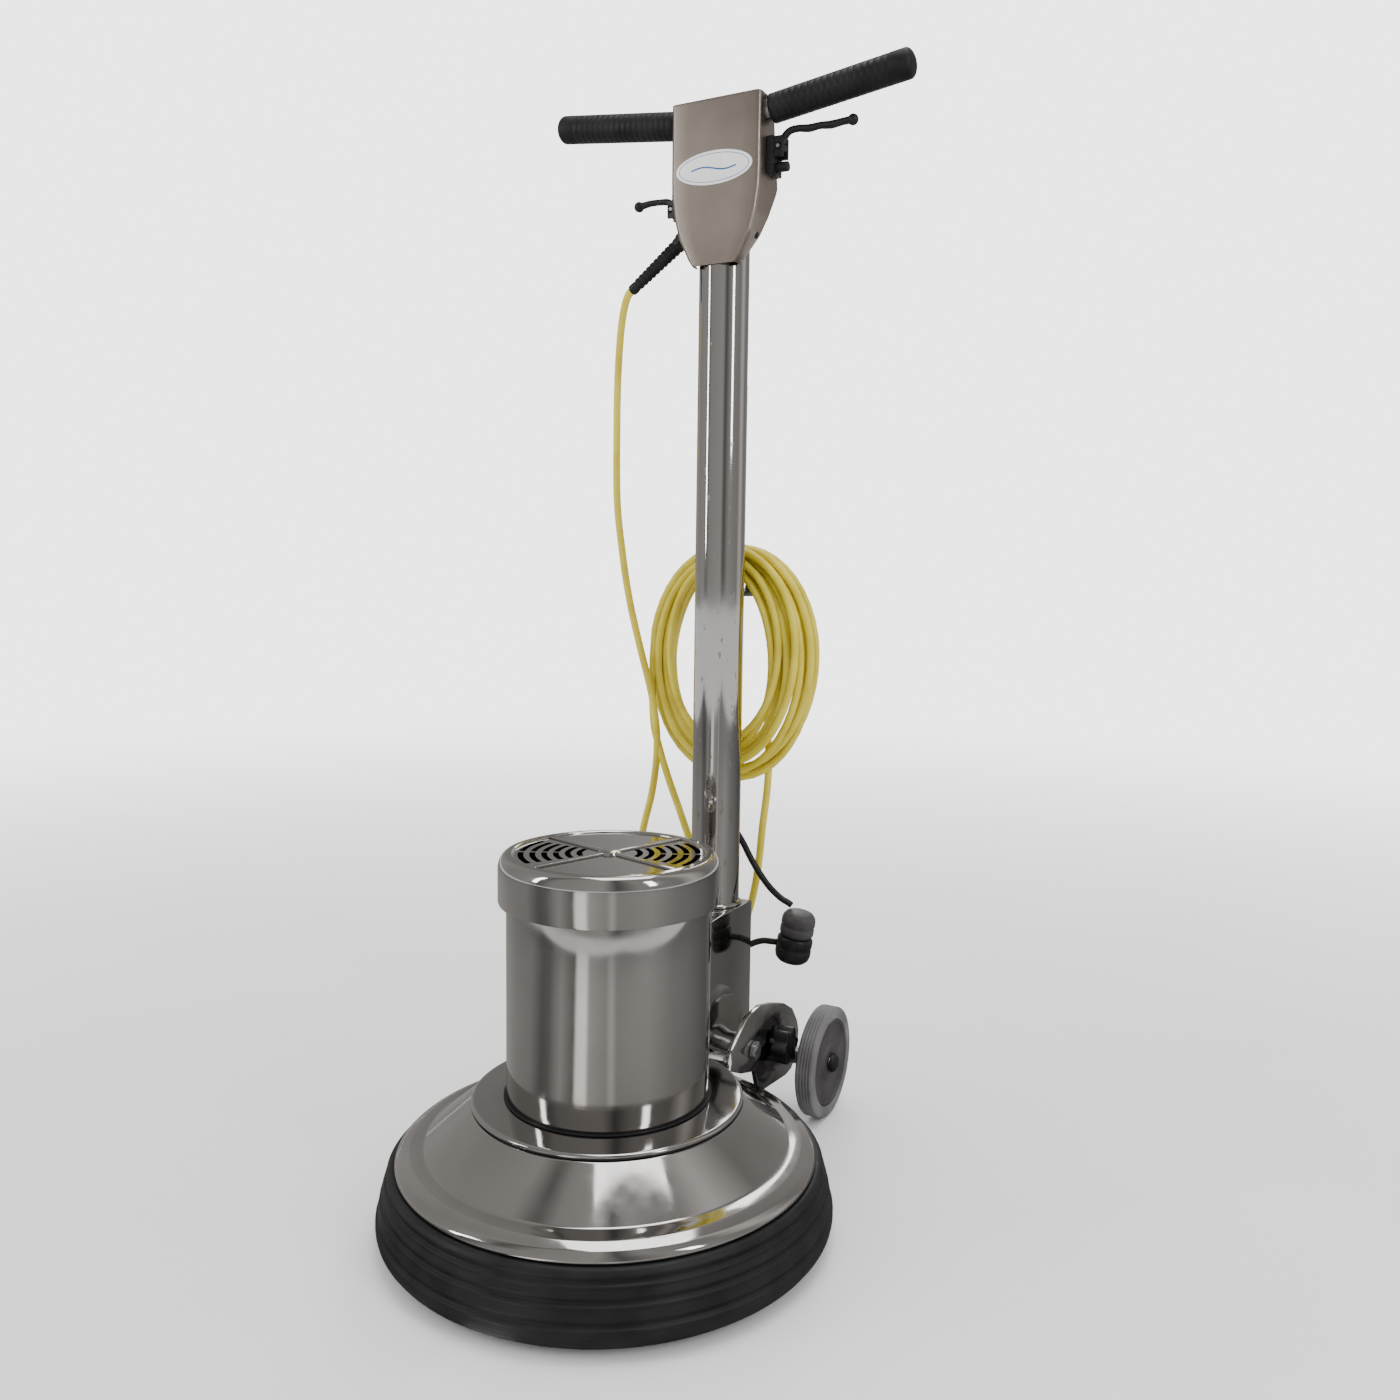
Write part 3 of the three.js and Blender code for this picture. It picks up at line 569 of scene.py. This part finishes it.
def make_yoke():
    for node in ("yoke_cheek_right", "yoke_cheek_left", "yoke_saddle", "brake_sector", "cord_hook"):
        refined(node, 0.0009)
    refined("socket_box", 0.0022, 4)
    for side, s in (("right", 1), ("left", -1)):
        x = sorted((59.7 * s, 65.4 * s))
        hex_nut("pivot_nut_" + side, x[0], x[1], PIVOT_Y, PIVOT_Z, 10.5, "base")
        cap = [(0, 6.4), (7.5, 5.8), (10.4, 3.6), (11, 1), (11, 0), (0, 0)]
        at = (111.2 * s, *WHEEL_CENTRE[1:])
        dome = turned("axle_dome_" + side, rounded(cap, 0.6, 3, False), at, (s, 0, 0), 40, False)
        finish_piece(dome, "base", "black_plastic", ["axle_cap_" + side])
    bolt_head = rounded([(0, 0), (6.6, 0), (6.6, 4.2), (5.2, 5.2), (0, 5.2)], 0.6, 2, False)
    for i, x in enumerate((38, -38)):
        bolt = turned("saddle_bolt_%d" % (i + 1), bolt_head, (x, 160, 111.8), (0, 0.66, 0.75), 6, False)
        finish_piece(bolt, "base", "steel")
    shaft = [(0, -115.8), (5.4, -115.8), (6, -115), (6, -88.8), (10, -88.8), (10, -60), (6, -60), (6, 60),
             (10, 60), (10, 88.8), (6, 88.8), (6, 115), (5.4, 115.8), (0, 115.8)]
    finish_piece(turned("axle_shaft", shaft, WHEEL_CENTRE, (1, 0, 0), 40, False), "base", "steel", ["axle"])


def make_wheel(side, s):
    centre, axis = WHEEL_CENTRE, (s, 0, 0)
    tread = [(50, 89.6), (60, 89.6), (62.4, 90.8)]
    for k in range(5):
        x = 92.4 + k * 3.6
        tread += [(63.4, x), (63.4, x + 2.0), (62.6, x + 2.4), (62.6, x + 3.2)]
    tread += [(62.4, 109.6), (60, 110.6), (50, 110.6)]
    tyre = turned("tyre_ring_" + side, rounded(tread, 0.35, 2), centre, axis, 128)
    finish_piece(tyre, "wheel_" + side, "tread_grey", ["tyre_" + side], 50)
    hub = rounded([(6.3, 89.3), (16, 89.3), (18, 94.3), (42, 94.3), (44, 90.3), (49.7, 90.3), (49.7, 110.2),
                   (46.5, 110.3), (45, 108.4), (22, 107.6), (19.5, 109.2), (6.3, 109.2)], 0.9, 3)
    disc = turned("wheel_disc_" + side, hub, centre, axis, 96)
    finish_piece(disc, "wheel_" + side, "grey_plastic", ["hub_" + side], 40)


def make_knob():
    y, z = 262, 97
    outline = []
    for k in range(72):
        a = 2 * math.pi * k / 72
        r = 18.4 + 2.9 * math.cos(6 * a)
        outline.append((y + r * math.cos(a), z + r * math.sin(a)))
    grip = slab("knob_grip", outline, 64.2, 81.8, "X", 0.0022, 4)
    finish_piece(grip, "clamp_knob", "black_plastic", ["clamp_knob"], 60)
    stem = turned("knob_stem", [(0, 0), (5, 0), (5, 5), (0, 5)], (60, y, z), (1, 0, 0), 32, False)
    finish_piece(stem, "clamp_knob", "steel")
    dome = [(0, 0), (9, 0), (9, 0.8), (7.5, 1.6), (0, 1.8)]
    cap = turned("knob_cap", dome, (81.7, y, z), (1, 0, 0), 40, False)
    finish_piece(cap, "clamp_knob", "black_plastic")


def make_tube():
    low, high, inner, outer = 155, 1050, 25, 27
    rows = [(outer, low + (high - low) * k / 6) for k in range(7)]
    pole = turned("handle_pole", [(inner, low)] + rows + [(inner, high)], (0, TUBE_Y, 0), segs=96)
    finish_piece(pole, "handle", "chrome_tube", ["handle_tube"])
    collar = rounded([(27.2, 262.2), (30.4, 262.2), (30.4, 264.4), (27.2, 266.4)], 0.8, 3)
    finish_piece(turned("pole_weld", collar, (0, TUBE_Y, 0), segs=64), "handle", "chrome")


make_yoke()
for wheel_side, sign in (("right", 1), ("left", -1)):
    make_wheel(wheel_side, sign)
make_knob()
make_tube()


# ---------------------------------------------------------------- head
# The cover's half width, and the place of its rear edge, at heights in millimetres.
WIDTHS = [(950, 25.4), (957, 30.5), (965, 34.4), (980, 42), (1000, 47.4), (1025, 51.2), (1040, 51.5),
          (1117, 51.5)]
DEPTHS = [(950, 209), (957, 212), (1032, 243.6), (1089, 233), (1117, 229)]
FRONT_Y = 195.6


def make_cover():
    """Sheet cover: flat front, sides folded back round a small bend, tapering to the tube."""
    zs = [950 + 167 * k / 66 for k in range(67)]
    bend, verts, faces = 5.0, [], []
    for z in zs:
        w, back = float(np.interp(z, *zip(*WIDTHS))), float(np.interp(z, *zip(*DEPTHS)))
        half = [(w, back), (w, (back + FRONT_Y + bend) / 2), (w, FRONT_Y + bend)]
        half += [(w - bend + bend * math.cos(a), FRONT_Y + bend - bend * math.sin(a))
                 for a in (math.pi / 2 * k / 7 for k in range(1, 8))]
        half += [((w - bend) * t, FRONT_Y) for t in (0.66, 0.33, 0)]
        row = half + [(-x, y) for x, y in reversed(half[:-1])]
        verts += [Vector((x, y, z)) / 1000 for x, y in row]
    n = len(row)
    for i in range(len(zs) - 1):
        faces += [[i * n + k, i * n + k + 1, (i + 1) * n + k + 1, (i + 1) * n + k] for k in range(n - 1)]
    cover = mesh_object("cover_sheet", verts, faces)
    centre = Vector((0, 0.23, 1.03))
    inward = sum((1 if (centre - f.center).dot(f.normal) > 0 else -1) for f in cover.data.polygons) > 0
    thick = cover.modifiers.new("thick", "SOLIDIFY")
    thick.thickness = 0.0015
    thick.offset = 1 if inward else -1
    applied(cover)
    bevelled(cover, 0.0003, 2, 50)
    finish_piece(cover, "handle", "brushed_cover", ["head_cover"], 35)
    head = [(0, 1.0), (2.2, 0.9), (3.4, 0.3), (3.6, 0), (0, 0)]
    for side, s in (("right", 1), ("left", -1)):
        screw = turned("cover_screw_" + side, head, (41.7 * s, 215, 979), (s * 0.94, 0, -0.34), 32, False)
        finish_piece(screw, "handle", "black_plastic")


def oval(a, b, n=96):
    return [(a * math.cos(2 * math.pi * k / n), BADGE_Z + b * math.sin(2 * math.pi * k / n)) for k in range(n)]


def make_badge():
    plate = slab("badge_plate", oval(44, 17), 194.6, 195.4, "Y", 0.0003, 3)
    finish_piece(plate, "handle", "badge_white", ["badge"])
    outer, inner_ring = oval(40.6, 14.4), oval(39.9, 13.8)
    verts = [Vector((x, 194.52, z)) / 1000 for x, z in outer + inner_ring]
    n = len(outer)
    faces = [[k, (k + 1) % n, (k + 1) % n + n, k + n] for k in range(n)]
    finish_piece(mesh_object("badge_line", verts, faces), "handle", "badge_blue", smooth=0)
    wave = [(-26 + 52 * k / 40, BADGE_Z + 2.2 * math.sin(2 * math.pi * k / 40)) for k in range(41)]
    band = wave + [(x, z - 1.6) for x, z in reversed(wave)]
    verts = [Vector((x, 194.52, z)) / 1000 for x, z in band]
    faces = [[k, k + 1, 80 - k, 81 - k] for k in range(40)]
    finish_piece(mesh_object("badge_wave", verts, faces), "handle", "badge_blue", smooth=0)


GRIP_TILT = math.radians(7.45)


def make_grip(side, s):
    start = Vector((54.6 * s, GRIP_Y, 1104 + 2.6 * math.tan(GRIP_TILT)))
    axis = Vector((s * math.cos(GRIP_TILT), 0, math.sin(GRIP_TILT)))
    total = 151.4 / math.cos(GRIP_TILT)
    profile = [(11.3, 0), (13.6, 0), (14.6, 1)]
    for k in range(18):
        x = 8 + k * 7
        profile += [(14.6, x), (14.35, x + 0.5), (14.35, x + 1.1), (14.6, x + 1.6)]
    for k in range(11):
        a = math.pi / 2 * k / 10
        profile.append((14.6 * math.cos(a), total - 8 + 8 * math.sin(a)))
    finish_piece(turned("grip_sleeve_" + side, profile, start, axis, 64, False), "handle", "rubber_black",
                 ["grip_" + side], 60)


def make_lever(name, node, path, radii, tip, tip_r, pivot, body):
    route = smooth_path([[x, LEVER_Y, z] for x, z in path], 6)
    spots = np.linspace(0, 1, len(radii))
    sizes = [float(np.interp(i / (len(route) - 1), spots, radii)) for i in range(len(route))]
    arm = swept(name, route, sizes)
    finish_piece(arm, body, "black_plastic", [node], 60)
    knob = [(tip_r * math.sin(a), -tip_r * math.cos(a)) for a in (math.pi * k / 16 for k in range(17))]
    ball = turned(name + "_ball", knob, (tip[0], LEVER_Y, tip[1]), (0, 1, 0), 32, False)
    finish_piece(ball, body, "black_plastic")
    eye = rounded([(2.3, -4.1), (5.4, -4.1), (5.4, 4.1), (2.3, 4.1)], 0.8, 3)
    boss = turned(name + "_eye", eye, (pivot[0], LEVER_Y, pivot[1]), (0, 1, 0), 40)
    finish_piece(boss, body, "black_plastic")


make_cover()
make_badge()
for grip_side, sign in (("right", 1), ("left", -1)):
    make_grip(grip_side, sign)
refined("head_body", 0.0012)
refined("start_housing", 0.0012)
refined("release_bracket", 0.0012)
make_lever("start_arm", "start_lever",
           [(64.5, 1070), (66.5, 1076), (72.5, 1081.5), (82, 1082.5), (94, 1080.9), (105.5, 1081.6),
            (118, 1080.6), (130, 1081.6), (138, 1081.8)],
           [4.2, 3.9, 3.7, 3.5, 3.9, 3.5, 4.0, 3.6, 3.8], (141, 1081.8), 5.6, (63, 1066), "start_lever")
make_lever("release_arm", "release_lever",
           [(-63, 1022.5), (-65.5, 1026.5), (-70, 1029.5), (-80, 1030.6), (-92, 1030.8), (-103, 1029.4)],
           [4.0, 3.8, 3.5, 3.2, 3.4, 3.8], (-106, 1029), 5.6, (-62, 1019), "release_lever")
button = rounded([(0, 14.5), (5, 14.5), (5, 0), (0, 0)], 1.2, 4, False)
finish_piece(turned("stop_button", button, (57.5, LEVER_Y, 1047), (1, 0, 0), 40, False), "interlock_button",
             "black_plastic", ["interlock_button"])


# ---------------------------------------------------------------- studio
def area_light(name, place, target, size, power):
    data = bpy.data.lights.new(name, "AREA")
    data.shape = "RECTANGLE"
    data.size, data.size_y = size
    data.energy = power
    light = bpy.data.objects.new(name, data)
    bpy.context.scene.collection.objects.link(light)
    light.location = place
    light.rotation_euler = (Vector(target) - Vector(place)).to_track_quat("-Z", "Y").to_euler()


def grey_sectors(tree, coord, stops):
    """Warm greys that change with the angle about the machine's axis."""
    grad = tree.nodes.new("ShaderNodeTexGradient")
    grad.gradient_type = "RADIAL"
    tree.links.new(coord, grad.inputs["Vector"])
    ramp = tree.nodes.new("ShaderNodeValToRGB")
    elements = ramp.color_ramp.elements
    elements.remove(elements[0])
    for k, (place, grey) in enumerate(stops):
        e = elements[0] if k == 0 else elements.new(place)
        e.position = place
        e.color = (grey * 1.03, grey, grey * 0.96, 1)
    tree.links.new(grad.outputs["Fac"], ramp.inputs["Fac"])
    return ramp.outputs["Color"]


# What chrome mirrors: greys at parts of a turn about the machine, in the world and on the floor.
WORLD_GREYS = [(0.0, 0.30), (0.09, 0.34), (0.13, 0.12), (0.17, 0.30), (0.32, 0.36), (0.36, 0.10), (0.42, 0.32),
               (0.55, 0.25), (0.60, 0.60), (0.66, 0.22), (0.76, 0.30), (0.80, 0.55), (0.85, 0.20), (0.93, 0.34),
               (1.0, 0.30)]
FLOOR_GREYS = [(0.0, 0.20), (0.09, 0.17), (0.135, 0.07), (0.16, 0.09), (0.20, 0.25), (0.24, 0.10),
               (0.248, 0.95), (0.272, 1.0), (0.282, 0.34), (0.33, 0.24), (0.345, 0.40), (0.36, 0.22),
               (0.45, 0.24), (0.53, 0.16), (0.60, 0.13), (0.70, 0.06), (0.80, 0.17), (0.97, 0.22), (1.0, 0.20)]
BACKDROP = 3.4


def fade_to_backdrop(tree, bsdf):
    """Turns the far floor into the backdrop's white, so no horizon shows."""
    coord = tree.nodes.new("ShaderNodeTexCoord")
    far = tree.nodes.new("ShaderNodeVectorMath")
    far.operation = "LENGTH"
    tree.links.new(coord.outputs["Object"], far.inputs[0])
    fade = tree.nodes.new("ShaderNodeMapRange")
    fade.interpolation_type = "SMOOTHSTEP"
    fade.inputs["From Min"].default_value = 0.5
    fade.inputs["From Max"].default_value = 4.5
    tree.links.new(far.outputs["Value"], fade.inputs["Value"])
    seen = tree.nodes.new("ShaderNodeLightPath")
    both = tree.nodes.new("ShaderNodeMath")
    both.operation = "MULTIPLY"
    tree.links.new(fade.outputs["Result"], both.inputs[0])
    tree.links.new(seen.outputs["Is Camera Ray"], both.inputs[1])
    glow = tree.nodes.new("ShaderNodeEmission")
    glow.inputs["Strength"].default_value = BACKDROP
    mix = tree.nodes.new("ShaderNodeMixShader")
    tree.links.new(both.outputs[0], mix.inputs["Fac"])
    tree.links.new(bsdf.outputs[0], mix.inputs[1])
    tree.links.new(glow.outputs[0], mix.inputs[2])
    tree.links.new(mix.outputs[0], tree.nodes["Material Output"].inputs["Surface"])


def square(name, half, z):
    corners = [(-half, -half, z), (half, -half, z), (half, half, z), (-half, half, z)]
    return mesh_object(name, corners, [[0, 1, 2, 3]])


def make_studio():
    make_floor()
    make_world()
    make_mirror_floor()
    area_light("key", (-1.9, -1.75, 1.5), (0, 0, 0.5), (0.25, 1.6), 14)
    area_light("fill", (2.4, -0.6, 1.7), (0, 0.1, 0.5), (0.35, 1.4), 14)
    area_light("top", (0.2, 0.3, 3.0), (0, 0.1, 0.4), (1.6, 1.6), 30)
    area_light("rear", (-0.8, 2.4, 1.8), (0, 0.1, 0.6), (1.0, 1.2), 16)


def make_floor():
    floor = square("floor", 30, 0)
    m, tree, bsdf = new_material("floor_paint", Roughness=0.7)
    tint(tree, noise(tree, 2, 2), bsdf.inputs["Base Color"], (0.90, 0.90, 0.895), (0.93, 0.93, 0.925))
    fade_to_backdrop(tree, bsdf)
    floor.data.materials.append(m)


def make_world():
    """White for the camera and for soft light, grey sectors for reflections."""
    world = bpy.data.worlds.new("studio")
    bpy.context.scene.world = world
    world.use_nodes = True
    tree = world.node_tree
    back = tree.nodes["Background"]
    coord = tree.nodes.new("ShaderNodeTexCoord")
    greys = grey_sectors(tree, coord.outputs["Generated"], WORLD_GREYS)
    path = tree.nodes.new("ShaderNodeLightPath")
    mix = tree.nodes.new("ShaderNodeMixRGB")
    mix.inputs["Color1"].default_value = (1.0, 1.0, 0.995, 1)
    tree.links.new(path.outputs["Is Glossy Ray"], mix.inputs["Fac"])
    tree.links.new(greys, mix.inputs["Color2"])
    tree.links.new(mix.outputs["Color"], back.inputs["Color"])
    power = tree.nodes.new("ShaderNodeMapRange")
    power.inputs["To Min"].default_value = 1.2
    power.inputs["To Max"].default_value = BACKDROP
    tree.links.new(path.outputs["Is Camera Ray"], power.inputs["Value"])
    tree.links.new(power.outputs["Result"], back.inputs["Strength"])


def make_mirror_floor():
    """A floor that only reflections see, so that the chrome mirrors greys and not the white floor."""
    mirror_floor = square("mirror_floor", 4, 0.0004)
    m, tree, bsdf = new_material("mirror_floor_paint", Roughness=0.9)
    coord = tree.nodes.new("ShaderNodeTexCoord")
    tree.links.new(grey_sectors(tree, coord.outputs["Object"], FLOOR_GREYS), bsdf.inputs["Base Color"])
    mirror_floor.data.materials.append(m)
    mirror_floor.visible_camera = False
    mirror_floor.visible_diffuse = False
    mirror_floor.visible_shadow = False


make_studio()
